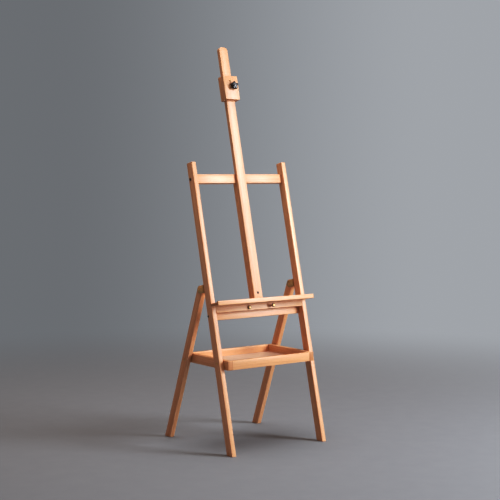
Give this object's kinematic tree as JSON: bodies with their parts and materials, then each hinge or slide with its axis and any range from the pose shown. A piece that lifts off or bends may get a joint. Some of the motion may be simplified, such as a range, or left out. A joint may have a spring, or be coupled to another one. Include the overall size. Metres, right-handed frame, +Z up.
{
  "type": "artist easel",
  "caption": "Free-standing wooden artist easel with a sliding mast, canvas clamp and ledge, hinged rear legs and a storage tray between the legs.",
  "frame": {"origin": "on the floor, in the middle of the footprint of the four feet", "axes": "+Z up, +Y towards the back, +X to the right seen from the front; the front frame leans back towards +Y"},
  "size_m": [0.4484, 0.445, 1.4985],
  "materials": {
    "beech_front": "satin lacquered",
    "beech_rail": "satin lacquered",
    "beech_rear": "satin lacquered",
    "brass": "polished",
    "dark_steel": "dark burnished",
    "black_plastic": "gloss"
  },
  "bodies": {
    "frame": {"front_leg_left": "beech_front", "front_leg_right": "beech_front", "upper_crossbar": "beech_rail", "centre_batten": "beech_rail", "lower_rail": "beech_rail", "ledge_apron": "beech_front", "ledge_plate": "beech_rail", "ledge_lip": "beech_front", "crossbar_bolts": "dark_steel", "rail_screws": "dark_steel", "hinge_bracket_left": "brass", "hinge_bracket_right": "brass", "bracket_screws": "brass", "hinge_pin_left": "brass", "hinge_pin_right": "brass", "tray_front_screws": "brass"},
    "thumb_left": {"thumb_screw_left": "brass"},
    "thumb_right": {"thumb_screw_right": "brass"},
    "mast_slider": {"mast": "beech_front", "mast_bolt": "dark_steel", "mast_washer": "dark_steel"},
    "lock_knob": {"mast_lock_knob": "black_plastic"},
    "clamp": {"clamp_front": "beech_front", "clamp_cheek_left": "beech_rail", "clamp_cheek_right": "beech_rail", "clamp_back": "beech_rail", "clamp_screw": "brass", "clamp_back_screws": "brass"},
    "clamp_knob": {"star_knob": "black_plastic", "star_stud": "dark_steel"},
    "rear_left": {"rear_leg_left": "beech_rear"},
    "rear_right": {"rear_leg_right": "beech_rear"},
    "tray": {"tray_side_left": "beech_rail", "tray_side_right": "beech_rail", "tray_front": "beech_rail", "tray_back": "beech_rail", "tray_floor": "beech_rear", "tray_pivot_left": "brass", "tray_pivot_right": "brass"}
  },
  "joints": [
    {"name": "mast_slide", "type": "slide", "parent": "frame", "child": "mast_slider", "axis": [0, 0.2351, 0.972], "range_m": [0, 0.41]},
    {"name": "clamp_slide", "type": "slide", "parent": "mast_slider", "child": "clamp", "axis": [0, 0.2351, 0.972], "range_m": [-0.278, 0.102]},
    {"name": "clamp_knob_turn", "type": "hinge", "parent": "clamp", "child": "clamp_knob", "pos_m": [0.007, 0.08303, 1.34795], "axis": [0, -0.972, 0.2351], "continuous": true},
    {"name": "lock_knob_turn", "type": "hinge", "parent": "mast_slider", "child": "lock_knob", "pos_m": [0, -0.04606, 0.55919], "axis": [0, -0.972, 0.2351], "continuous": true},
    {"name": "thumb_left_turn", "type": "hinge", "parent": "frame", "child": "thumb_left", "pos_m": [-0.052, -0.0974, 0.51708], "axis": [0, -0.972, 0.2351], "continuous": true},
    {"name": "thumb_right_turn", "type": "hinge", "parent": "frame", "child": "thumb_right", "pos_m": [0.052, -0.0974, 0.51708], "axis": [0, -0.972, 0.2351], "continuous": true},
    {"name": "rear_left_fold", "type": "hinge", "parent": "frame", "child": "rear_left", "pos_m": [-0.2105, -0.01867, 0.5853], "axis": [-1, 0, 0], "range_deg": [0, 34.5]},
    {"name": "rear_right_fold", "type": "hinge", "parent": "frame", "child": "rear_right", "pos_m": [0.2105, -0.01867, 0.5853], "axis": [-1, 0, 0], "range_deg": [0, 34.5]},
    {"name": "tray_fold", "type": "hinge", "parent": "rear_left", "child": "tray", "pos_m": [0, 0.08479, 0.31438], "axis": [1, 0, 0], "range_deg": [0, 110.91]}
  ],
  "couplings": [
    {"joint": "rear_right_fold", "follows": "rear_left_fold", "ratio": 1},
    {"joint": "tray_fold", "follows": "rear_left_fold", "ratio": 3.2145}
  ]
}
